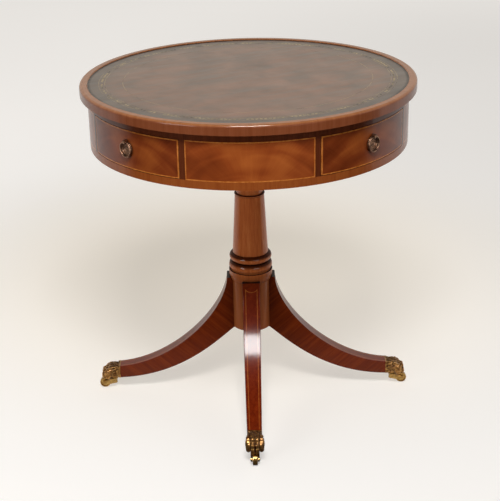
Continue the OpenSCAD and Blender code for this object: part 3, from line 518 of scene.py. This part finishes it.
# %% Worn gold leaf
WEAR_PATCH = 26 * MM
gilt, tree, shader = start_material("worn_gold_leaf", 0.42)
place = add(tree, "TexCoord").outputs["Object"]
wear = add(tree, "TexNoise", {"Vector": place, "Scale": 1 / WEAR_PATCH, "Detail": 5.0})
left = add(tree, "MapRange", {"Value": wear, "From Min": 0.38, "From Max": 0.56})
gold = add(tree, "Mix", {0: left, 6: srgb("#2e241c"), 7: srgb("#cdbb92")}, data_type="RGBA")
tree.links.new(gold.outputs[2], shader.inputs["Base Color"])
tree.links.new(left.outputs[0], shader.inputs["Metallic"])
print("made", gilt.name)

# %% Helpers for new pieces
def new_piece(name, mesh, material, body):
    """Puts a mesh in the scene with its material, on a CAD body"""
    piece = bpy.data.objects.new(name, mesh)
    bpy.context.scene.collection.objects.link(piece)
    mesh.materials.append(material)
    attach(piece, body)
    return piece


def flat_prism(bm, outline, foot, head):
    """A thin solid over an outline that runs anticlockwise"""
    low = [bm.verts.new((x, y, foot)) for x, y in outline]
    high = [bm.verts.new((x, y, head)) for x, y in outline]
    bm.faces.new(high)
    bm.faces.new(low[::-1])
    for i in range(len(outline)):
        j = (i + 1) % len(outline)
        bm.faces.new((low[i], low[j], high[j], high[i]))


def polar(radius, angle):
    """The x and y of a point at this distance and angle from the middle"""
    return radius * math.cos(angle), radius * math.sin(angle)


# %% Gilt lines
LEATHER_TOP = 632.8 * MM
LEAF_THICKNESS = 0.06 * MM
GILT_FOOT, GILT_HEAD = LEATHER_TOP - LEAF_THICKNESS, LEATHER_TOP + LEAF_THICKNESS
LINE_RADII = {226 * MM: 0.5 * MM, 258.5 * MM: 0.6 * MM, 269.5 * MM: 0.6 * MM}
ROUND_STEPS = 360
bm = bmesh.new()
for radius, width in LINE_RADII.items():
    inside, outside = radius - width / 2, radius + width / 2
    rings = []
    for r, z in ((inside, GILT_FOOT), (outside, GILT_FOOT), (outside, GILT_HEAD), (inside, GILT_HEAD)):
        turns = [2 * math.pi * i / ROUND_STEPS for i in range(ROUND_STEPS)]
        rings.append([bm.verts.new((*polar(r, a), z)) for a in turns])
    for a in range(4):
        for i in range(ROUND_STEPS):
            j, b = (i + 1) % ROUND_STEPS, (a + 1) % 4
            bm.faces.new((rings[a][i], rings[a][j], rings[b][j], rings[b][i]))
print("gilt lines:", len(LINE_RADII))

# %% Chain of leaves
TOOLING_RADIUS = 264 * MM
LEAVES, RUBBED_AWAY, WEAR_SEED = 230, 0.12, 7
LEAF_LENGTH, LEAF_WIDTH, LEAF_SWELL = 6.6 * MM, 3.2 * MM, 0.45
LEAF_TILT, LEAF_POINTS = math.radians(24), 10
rubbed = random.Random(WEAR_SEED)
for i in range(LEAVES):
    if rubbed.random() < RUBBED_AWAY:
        continue
    middle_angle = 2 * math.pi * i / LEAVES
    tilt = LEAF_TILT if i % 2 else -LEAF_TILT
    outline = []
    for k in range(LEAF_POINTS):
        t = 2 * math.pi * k / LEAF_POINTS
        u = LEAF_LENGTH / 2 * math.cos(t)
        v = LEAF_WIDTH / 2 * math.sin(t) * (1 - LEAF_SWELL * math.cos(t))
        u, v = u * math.cos(tilt) - v * math.sin(tilt), u * math.sin(tilt) + v * math.cos(tilt)
        outline.append(polar(TOOLING_RADIUS - v, middle_angle + u / TOOLING_RADIUS))
    flat_prism(bm, outline, GILT_FOOT, GILT_HEAD)
bmesh.ops.recalc_face_normals(bm, faces=bm.faces)
tooling_mesh = bpy.data.meshes.new("gold_tooling")
bm.to_mesh(tooling_mesh)
bm.free()
new_piece("gold_tooling", tooling_mesh, gilt, "drum")
print("gold tooling:", len(tooling_mesh.polygons), "faces")

# %% [markdown]
# ## Legs with eased edges
# The CAD leg is sawn to its curve in short flats, with knife-sharp corners. A
# real one is spokeshaved smooth and its corners are eased by sandpaper, and the
# polish shows both: the lamp's reflection fades at its ends, and a corner is a
# soft line of light. So each leg and its string become copies with smooth
# shading, and the four long corners of a leg get a small round. Its sides taper
# towards the castor, which is how the corners are told from the string's edges.

# %% Which edges are corners
LEG_ANGLES = {leg: math.radians(90 * i - 45) for i, leg in enumerate(LEGS)}
HALF_WIDTH_AT_COLUMN, TAPER = 17.4 * MM, 0.0157
CORNERS_FROM, CORNERS_TO = 42 * MM, 262 * MM
TOP_FACES_ASIDE_BELOW, SIDES_FACE_ASIDE_ABOVE, NEAR_SIDE = 0.2, 0.95, 0.9


def is_corner(edge):
    """Whether this edge of a leg laid along X lies between a side and the top or the underside"""
    if len(edge.link_faces) != 2 or not edge.is_convex:
        return False
    middle = (edge.verts[0].co + edge.verts[1].co) / 2
    facing_aside = sorted(abs(face.normal.y) for face in edge.link_faces)
    half_width = HALF_WIDTH_AT_COLUMN - TAPER * middle.x
    return (facing_aside[0] < TOP_FACES_ASIDE_BELOW and facing_aside[1] > SIDES_FACE_ASIDE_ABOVE
            and abs(middle.y) > NEAR_SIDE * half_width and CORNERS_FROM < middle.x < CORNERS_TO)


# %% Smooth copies
WELD = 0.005 * MM
FLAT_BELOW, SMOOTH_BELOW = math.radians(0.6), math.radians(40)
EDGE_ROUND, ROUND_SEGMENTS = 0.9 * MM, 3


def smooth_copy(node, angle=None):
    """A CAD node's mesh, welded, with smooth shading; an angle marks a leg, whose corners get a round"""
    bm = bmesh.new()
    bm.from_mesh(nodes[node].data)
    bmesh.ops.remove_doubles(bm, verts=bm.verts, dist=WELD)
    if angle is not None:
        bmesh.ops.rotate(bm, verts=bm.verts, matrix=Matrix.Rotation(-angle, 3, "Z"))
        bmesh.ops.dissolve_limit(bm, verts=bm.verts, edges=bm.edges, angle_limit=FLAT_BELOW)
        bmesh.ops.bevel(bm, geom=[edge for edge in bm.edges if is_corner(edge)], offset=EDGE_ROUND,
                        segments=ROUND_SEGMENTS, profile=0.5, affect="EDGES")
        bmesh.ops.rotate(bm, verts=bm.verts, matrix=Matrix.Rotation(angle, 3, "Z"))
    for face in bm.faces:
        face.smooth = True
    for edge in bm.edges:
        edge.smooth = edge.calc_face_angle(0) < SMOOTH_BELOW
    mesh = bpy.data.meshes.new(node + "_smooth")
    bm.to_mesh(mesh)
    bm.free()
    return mesh


def replace_smooth(node, material, angle=None):
    """Puts a smooth copy in the CAD node's place, with normals that keep its flat faces flat"""
    piece = new_piece(node + "_smooth", smooth_copy(node, angle), material, "base")
    weights = piece.modifiers.new("weights", "WEIGHTED_NORMAL")
    weights.keep_sharp = True
    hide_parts(node)
    print(piece.name, len(piece.data.polygons), "faces")


for leg, angle in LEG_ANGLES.items():
    replace_smooth("leg_" + leg, leg_wood, angle)
replace_smooth("leg_stringing", leg_string)

# %% [markdown]
# ## Brass and iron
# The castors are sand-cast brass: the metal is yellow where hands and floors
# rub it, and brown where lacquer and dirt stay. The forks and wheels are rubbed
# cleaner than the paws. The ring pulls are the same metal, bronzed brown with a
# chemical bath, and the spindle and its nut are oiled iron. A metal keeps
# Blender's default IOR, and its colour is that of its reflection. No dirt is
# painted by hand: ambient occlusion finds the wide hollows, an attribute called
# groove gives the cuts that are sculpted below, and dust dims what faces up.

# %% Metals
PATINA_PATCH = 5 * MM
SAND_GRAIN, SAND_HEIGHT = 0.8 * MM, 0.06 * MM


def cast_metal(name, bright, dull, dirt, roughness, reach):
    """Cast metal under thin lacquer, clean on its ridges and dirty in its hollows"""
    material, tree, shader = start_material(name, roughness, Metallic=1.0, Coat_Weight=0.25,
                                            Coat_Roughness=0.16)
    place = add(tree, "TexCoord").outputs["Object"]
    patina = add(tree, "TexNoise", {"Vector": place, "Scale": 1 / PATINA_PATCH, "Detail": 4.0})
    pits = add(tree, "TexNoise", {"Vector": place, "Scale": 1 / SAND_GRAIN, "Detail": 2.0})
    skin = add(tree, "ValToRGB", {0: patina}, stops=[(0.35, dull), (0.62, bright)])
    hollow = add(tree, "AmbientOcclusion", {"Distance": reach}, samples=8).outputs["AO"]
    open_metal = add(tree, "MapRange", {"Value": hollow, "From Min": 0.25, "From Max": 0.8})
    groove = add(tree, "Attribute", attribute_name="groove").outputs["Fac"]
    ridge = add(tree, "MapRange", {"Value": groove, "From Min": 0.1, "From Max": 0.8, "To Min": 1.0,
                                   "To Max": 0.0})
    facing = add(tree, "SeparateXYZ", {0: add(tree, "NewGeometry").outputs["Normal"]})
    dust = add(tree, "MapRange", {"Value": facing.outputs[2], "From Min": 0.1, "From Max": 0.7, "To Min": 1.0,
                                  "To Max": 0.55})
    bare = add(tree, "Math", {0: open_metal, 1: ridge}, operation="MULTIPLY")
    clean = add(tree, "Math", {0: bare, 1: dust}, operation="MULTIPLY")
    metal = add(tree, "Mix", {0: clean, 6: srgb(dirt), 7: skin}, data_type="RGBA")
    tree.links.new(metal.outputs[2], shader.inputs["Base Color"])
    worn = add(tree, "MapRange", {"Value": patina, "From Min": 0.3, "From Max": 0.7,
                                  "To Min": roughness + 0.1, "To Max": roughness - 0.08})
    tree.links.new(worn.outputs[0], shader.inputs["Roughness"])
    sand = add(tree, "Bump", {"Height": pits, "Strength": 0.3, "Distance": SAND_HEIGHT})
    tree.links.new(sand.outputs[0], shader.inputs["Normal"])
    return material


cast_brass = cast_metal("cast_brass", "#e2aa62", "#94602f", "#34160a", 0.34, 4 * MM)
castor_brass = cast_metal("rubbed_brass", "#e6bc70", "#b48748", "#3f2a15", 0.3, 3 * MM)
bronzed_brass = cast_metal("bronzed_brass", "#b98e70", "#7d5945", "#24150e", 0.38, 1.5 * MM)
iron = cast_metal("oiled_iron", "#6b6863", "#403d3a", "#1c1a18", 0.42, 4 * MM)
dress(cast_brass, "cup_screws", *["castor_cup_" + leg for leg in LEGS])
dress(castor_brass, *["castor_%s_%s" % (kind, leg) for kind in ("fork", "wheel") for leg in LEGS])
dress(bronzed_brass, *["pull_%s_%s" % (kind, side) for kind in ("plate", "ring") for side in SIDES])
dress(iron, "pivot_spindle", "spindle_washer", "spindle_nut")

# %% [markdown]
# ## Lion's paws on the castors
# Each leg ends in a cast cup in the shape of a lion's paw: locks of fur run
# over the back, and four toes with claws hold the front. The CAD cup has the
# right bulk and the socket for the leg, so the paw starts as a copy of it. It
# gets claws, is remeshed to an even skin of small faces, and then each point
# moves inwards by a depth: fur locks, creases between the toes, and wrinkles
# over the knuckles. Inwards only, so it can't outgrow the cup, and the socket
# keeps its plain walls. The depth is kept with each point, for the dirt of the
# metal. One paw is shaped on a leg laid along X, then turned to its four
# places. Out is measured from the paw's own start, at the leg's end.

# %% Claws
PAW_START, PAW_LENGTH = 264 * MM, 38.8 * MM
TOES = {-11.7 * MM: 7.8 * MM, -4.05 * MM: 0.6 * MM, 4.05 * MM: 0.6 * MM, 11.7 * MM: 7.8 * MM}
CLAW_STEPS, CLAW_SIDES = 7, 12
CLAW_BACK, CLAW_REACH = 4.6 * MM, 3.6 * MM
CLAW_HEIGHT, CLAW_DROP = 31 * MM, 8.4 * MM
CLAW_THICK, CLAW_POINT = 2.5 * MM, 0.35 * MM
CLAW_LENGTHWISE, CLAW_CROSSWISE = 0.9, 0.8


def add_claw(bm, aside, back):
    """A claw that curves down over the front of a toe and ends in a blunt point"""
    rings = []
    for k in range(CLAW_STEPS):
        t = k / (CLAW_STEPS - 1)
        out = PAW_START + PAW_LENGTH - back - (CLAW_BACK - CLAW_REACH * t ** 0.7)
        middle = Vector((out, aside, CLAW_HEIGHT - CLAW_DROP * t ** 1.15))
        size = CLAW_THICK * (1 - t) ** 0.55 + CLAW_POINT
        long, wide = CLAW_LENGTHWISE * size, CLAW_CROSSWISE * size
        turns = [2 * math.pi * i / CLAW_SIDES for i in range(CLAW_SIDES)]
        rings.append([bm.verts.new(middle + Vector((long * math.cos(a), wide * math.sin(a), 0)))
                      for a in turns])
    for low, high in zip(rings, rings[1:]):
        for i in range(CLAW_SIDES):
            j = (i + 1) % CLAW_SIDES
            bm.faces.new((low[i], low[j], high[j], high[i]))
    bm.faces.new(rings[0][::-1])
    bm.faces.new(rings[-1])


# %% Fur and toes
BACK_RADIUS, BACK_HEIGHT = 14.5 * MM, 36 * MM
LOCK_WIDTH, LOCK_LENGTH, LOCK_CUT, LOCK_STEP = 4 * MM, 9 * MM, 1.7 * MM, 0.9 * MM
SWAY, SWAY_RUN, SWAY_SHIFT = 1.1 * MM, 2.6 * MM, 1.7
ROW_SHIFT, ROW_WANDER = 0.5, 0.15
FUR_FROM, FUR_TO, FUR_ABOVE = (1.5 * MM, 3 * MM), (17 * MM, 23 * MM), (24 * MM, 29 * MM)
CREASES, CREASE_WIDTH, CREASE_CUT = (-8.2 * MM, 0, 8.2 * MM), 1 * MM, 1.1 * MM
CREASE_FROM, CREASE_ABOVE = (15 * MM, 22 * MM), (24 * MM, 27 * MM)
KNUCKLE_OUT, KNUCKLE_HEIGHT = 21 * MM, 31 * MM
WRINKLES = [math.radians(a) for a in (74, 47, 14)]
WRINKLE_WIDTH, WRINKLE_CUT, WRINKLE_FROM = math.radians(5), 0.6 * MM, (19 * MM, 23 * MM)


def hump(value, centre, width):
    """1 at the centre, falling to nothing over about two widths"""
    return math.exp(-((value - centre) / width) ** 2)


def fade(value, start, end):
    """0 before the start, 1 past the end and smooth between"""
    t = max(0.0, min(1.0, (value - start) / (end - start)))
    return t * t * (3 - 2 * t)


def fur_depth(out, aside, height):
    """Locks that lie along the leg over the paw's back and sides, in rows like roof tiles"""
    arc = math.atan2(aside, height - BACK_HEIGHT) * BACK_RADIUS
    sway = SWAY * math.sin(out / SWAY_RUN + SWAY_SHIFT * round(arc / LOCK_WIDTH))
    lock = (arc + sway) / LOCK_WIDTH
    column = math.floor(lock)
    wander = ROW_WANDER * noise.noise(Vector((3.1 * column, 0, 5)))
    row = out / LOCK_LENGTH + ROW_SHIFT * (column % 2) + wander
    ridge = abs(math.sin(math.pi * lock)) ** 0.6
    slope = row - math.floor(row)
    reach = fade(out, *FUR_FROM) * (1 - fade(out, *FUR_TO)) * fade(height, *FUR_ABOVE)
    return reach * (LOCK_CUT * (1 - ridge) + LOCK_STEP * (1 - slope) * ridge)


def toe_depth(out, aside, height):
    """Creases between the toes, and wrinkles across their knuckles"""
    depth = 0.0
    for crease in CREASES:
        cut = CREASE_CUT * hump(aside, crease, CREASE_WIDTH)
        depth += cut * fade(out, *CREASE_FROM) * fade(height, *CREASE_ABOVE)
    bend = math.atan2(height - KNUCKLE_HEIGHT, out - KNUCKLE_OUT)
    for wrinkle in WRINKLES:
        depth += WRINKLE_CUT * hump(bend, wrinkle, WRINKLE_WIDTH) * fade(out, *WRINKLE_FROM)
    return depth


# %% Paws
SOCKET = {"half width": 11.6 * MM, "foot": 27.6 * MM, "head": 47.4 * MM, "depth": 19.6 * MM}
SKIN_FACE = 0.6 * MM
DEEPEST = 2 * MM


def in_socket(out, aside, height):
    """Whether a point is on the walls that the leg's tenon fits"""
    return (abs(aside) < SOCKET["half width"] and out < SOCKET["depth"]
            and SOCKET["foot"] < height < SOCKET["head"])


def sculpt_paw(mesh):
    """The cup's mesh, laid along X, as an even skin with claws, fur and toes"""
    bm = bmesh.new()
    bm.from_mesh(mesh)
    bmesh.ops.remove_doubles(bm, verts=bm.verts, dist=WELD)
    for aside, back in TOES.items():
        add_claw(bm, aside, back)
    bmesh.ops.recalc_face_normals(bm, faces=bm.faces)
    bm.to_mesh(mesh)
    bm.free()
    clay = bpy.data.objects.new("paw_clay", mesh)
    bpy.context.scene.collection.objects.link(clay)
    skin = clay.modifiers.new("skin", "REMESH")
    skin.mode, skin.voxel_size, skin.use_smooth_shade = "VOXEL", SKIN_FACE, True
    soften = clay.modifiers.new("soften", "SMOOTH")
    soften.factor, soften.iterations = 0.5, 3
    shaped = bpy.data.meshes.new_from_object(clay.evaluated_get(bpy.context.evaluated_depsgraph_get()))
    bpy.data.objects.remove(clay)
    inwards = [-point.normal for point in shaped.vertices]
    groove = shaped.attributes.new("groove", "FLOAT", "POINT")
    for point, way, dirt in zip(shaped.vertices, inwards, groove.data):
        place = (point.co.x - PAW_START, point.co.y, point.co.z)
        if not in_socket(*place):
            depth = fur_depth(*place) + toe_depth(*place)
            point.co += way * depth
            dirt.value = depth / DEEPEST
    return shaped


cup = nodes["castor_cup_front_right"].data.copy()
cup.transform(Matrix.Rotation(-LEG_ANGLES["front_right"], 4, "Z"))
paw = sculpt_paw(cup)
paw.materials.clear()
for leg, angle in LEG_ANGLES.items():
    mesh = paw.copy()
    mesh.transform(Matrix.Rotation(angle, 4, "Z"))
    piece = new_piece("lion_paw_" + leg, mesh, cast_brass, "base")
    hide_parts("castor_cup_" + leg)
print("each paw has", len(paw.polygons), "faces")

# %% [markdown]
# ## The floor
# Pale paper lies under the table and behind it, and fades out on a line just in
# front. Past it the floor is dark, which is why the drum and the column show no
# pale reflection from the front. The camera would see that edge, so the Light
# Path node shows it pale paper everywhere, with a painted glow that grows a
# little brighter with the distance, where a studio has lamps for the
# background. The table's shadow stays on it. Those lamps don't light the floor
# of the photograph evenly, so a few wide, soft spots make the glow a little
# brighter or darker: painted pools of light and painted shadow. One more spot
# makes the paper warmer under the drum, a painted bounce of light off the
# mahogany. A spot is a place, in metres to the right of the table and towards
# the camera, then the radii between which it fades, and its share of the glow.

# %% Floor
FLOOR_HALF = 14.0
PAPER_EDGE = (-0.35, 0.35)
GLOW_MIDDLE, GLOW_RANGE = (0.45, 0.35, 0), (0.3, 2.5)
GLOW_NEAR, GLOW_FAR = 0.455, 0.66
TO_RIGHT = (math.cos(CAMERA_TURN), math.sin(CAMERA_TURN), 0)
floor_mesh = bpy.data.meshes.new("studio_floor")
floor_mesh.from_pydata([(x * FLOOR_HALF, y * FLOOR_HALF, 0) for x, y in ((-1, -1), (1, -1), (1, 1), (-1, 1))],
                       [], [(0, 1, 2, 3)])
floor = bpy.data.objects.new("studio_floor", floor_mesh)
bpy.context.scene.collection.objects.link(floor)
floor_paint, tree, shader = start_material("studio_paper", 0.8, Specular_IOR_Level=0.0)
place = add(tree, "TexCoord").outputs["Object"]
ahead = add(tree, "VectorMath", {0: place, 1: TO_CAMERA}, operation="DOT_PRODUCT").outputs["Value"]
rightwards = add(tree, "VectorMath", {0: place, 1: TO_RIGHT}, operation="DOT_PRODUCT").outputs["Value"]
seen_place = add(tree, "CombineXYZ", {0: rightwards, 1: ahead})
away = add(tree, "VectorMath", {0: place, 1: GLOW_MIDDLE}, operation="DISTANCE").outputs["Value"]
rays = add(tree, "LightPath")
near = add(tree, "MapRange", {"Value": ahead, "From Min": PAPER_EDGE[0], "From Max": PAPER_EDGE[1],
                              "To Min": 1.0, "To Max": 0.0}, interpolation_type="SMOOTHSTEP")
mirrored = add(tree, "Math", {0: rays.outputs["Is Glossy Ray"], 1: rays.outputs["Is Transmission Ray"]},
               operation="MAXIMUM")
mirrored_near = add(tree, "Math", {0: mirrored, 1: near}, operation="MULTIPLY")
seen = add(tree, "Math", {0: rays.outputs["Is Camera Ray"], 1: mirrored_near}, operation="MAXIMUM")
studio = add(tree, "Mix", {0: near, 6: srgb("#2c2825"), 7: srgb("#d0ccc6")}, data_type="RGBA")
print("floor:", 2 * FLOOR_HALF, "m square")

# %% Spots of light on the floor
# Painted pools of light and painted shadow in the paper's glow.
LAMP_SPOTS = (((-0.3, -0.8), (0.0, 0.75), 0.84),
              ((0.15, -0.4), (0.0, 0.65), 1.2),
              ((1.1, -2.4), (0.2, 2.0), 0.84))
WARM_SPOT = ((-0.05, -0.6), (0.1, 1.0))


def spot(middle, reach, inside, outside):
    """A value that fades from the inside of a round spot to its outside"""
    off = add(tree, "VectorMath", {0: seen_place, 1: (*middle, 0)}, operation="DISTANCE").outputs["Value"]
    return add(tree, "MapRange", {"Value": off, "From Min": reach[0], "From Max": reach[1], "To Min": inside,
                                  "To Max": outside}, interpolation_type="SMOOTHSTEP")


# A painted warm bounce of light off the mahogany, under the drum.
bounce = spot(*WARM_SPOT, 1.0, 0.0)
shown_paper = add(tree, "Mix", {0: bounce, 6: srgb("#c0bebc"), 7: srgb("#c7bdae")}, data_type="RGBA")
paper = add(tree, "Mix", {0: seen, 6: studio.outputs[2], 7: shown_paper.outputs[2]}, data_type="RGBA")
tree.links.new(paper.outputs[2], shader.inputs["Base Color"])
# The paper's painted glow, brighter with the distance.
glow = add(tree, "MapRange", {"Value": away, "From Min": GLOW_RANGE[0], "From Max": GLOW_RANGE[1],
                              "To Min": GLOW_NEAR, "To Max": GLOW_FAR}, interpolation_type="SMOOTHSTEP")
for middle, reach, share in LAMP_SPOTS:
    glow = add(tree, "Math", {0: glow, 1: spot(middle, reach, share, 1.0)}, operation="MULTIPLY")
shown_glow = add(tree, "Math", {0: glow, 1: seen}, operation="MULTIPLY")
warmth = add(tree, "Mix", {0: bounce, 6: srgb("#fffcf8"), 7: srgb("#fff8ec")}, data_type="RGBA")
tree.links.new(warmth.outputs[2], shader.inputs["Emission Color"])
tree.links.new(shown_glow.outputs[0], shader.inputs["Emission Strength"])
floor_mesh.materials.append(floor_paint)
print("spots on the floor:", len(LAMP_SPOTS) + 1)

# %% [markdown]
# ## The light
# The key lamp is a softbox above the camera: its reflection is the white patch
# on the front leg. Two low boxes, one on each side of the camera, reach the
# column under the drum, and the left one is the stronger, as the shading of the
# turned rings shows. A weak one fills in from the right. The walls behind the
# table are a warm white and give the leather its haze, while the ceiling and
# the room behind the camera are dim, which keeps the polish deep. The level is
# plain: a white card on the floor would render just below white.

# %% Light
world = bpy.data.worlds.new("studio_walls")
bpy.context.scene.world = world
world.use_nodes = True
tree = world.node_tree
walls = tree.nodes["Background"]
direction = add(tree, "TexCoord").outputs["Generated"]
upwards = add(tree, "SeparateXYZ", {0: direction}).outputs[2]
towards = add(tree, "VectorMath", {0: direction, 1: TO_CAMERA}, operation="DOT_PRODUCT").outputs["Value"]
ceiling = add(tree, "MapRange", {"Value": upwards, "From Min": 0.5, "From Max": 0.8, "To Min": 0.88,
                                 "To Max": 0.14}, interpolation_type="SMOOTHSTEP")
room = add(tree, "MapRange", {"Value": towards, "From Min": -0.6, "From Max": 0.3, "To Min": 1.0,
                              "To Max": 0.08}, interpolation_type="SMOOTHSTEP")
bright = add(tree, "Math", {0: ceiling, 1: room}, operation="MULTIPLY")
in_view = add(tree, "LightPath").outputs["Is Camera Ray"]
shown = add(tree, "Math", {0: bright, 1: in_view}, operation="MAXIMUM")
tree.links.new(shown.outputs[0], walls.inputs["Strength"])
wall_paint = add(tree, "Mix", {0: in_view, 6: srgb("#f1e9dc"), 7: srgb("#e8e4de")}, data_type="RGBA")
tree.links.new(wall_paint.outputs[2], walls.inputs["Color"])
print("made", world.name)

# %% Lamps
AIM_HEIGHT = 0.3


def softbox(name, azimuth, height, distance, size, power):
    """A lamp of this width and height, at an azimuth and height in degrees, facing the table"""
    lamp = bpy.data.lights.new(name, "AREA")
    lamp.shape, lamp.size, lamp.energy = "RECTANGLE", size[0], power
    lamp.size_y = size[1]
    stand = bpy.data.objects.new(name, lamp)
    bpy.context.scene.collection.objects.link(stand)
    a, h = math.radians(azimuth), math.radians(height)
    way = Vector((math.sin(a) * math.cos(h), -math.cos(a) * math.cos(h), math.sin(h)))
    stand.location = Vector((0, 0, AIM_HEIGHT)) + way * distance
    stand.rotation_mode = "QUATERNION"
    stand.rotation_quaternion = way.to_track_quat("Z", "Y")
    print(name, power, "W")


softbox("key_softbox", 45, 54, 2.8, (0.8, 0.7), 56)
softbox("low_softbox", 76, 9, 3.2, (1.6, 0.8), 16)
softbox("left_softbox", 0, 12, 3.2, (1.2, 0.8), 26)
softbox("right_softbox", 130, 22, 3.0, (1.4, 1.4), 4)
bpy.context.scene.view_settings.view_transform = "Standard"
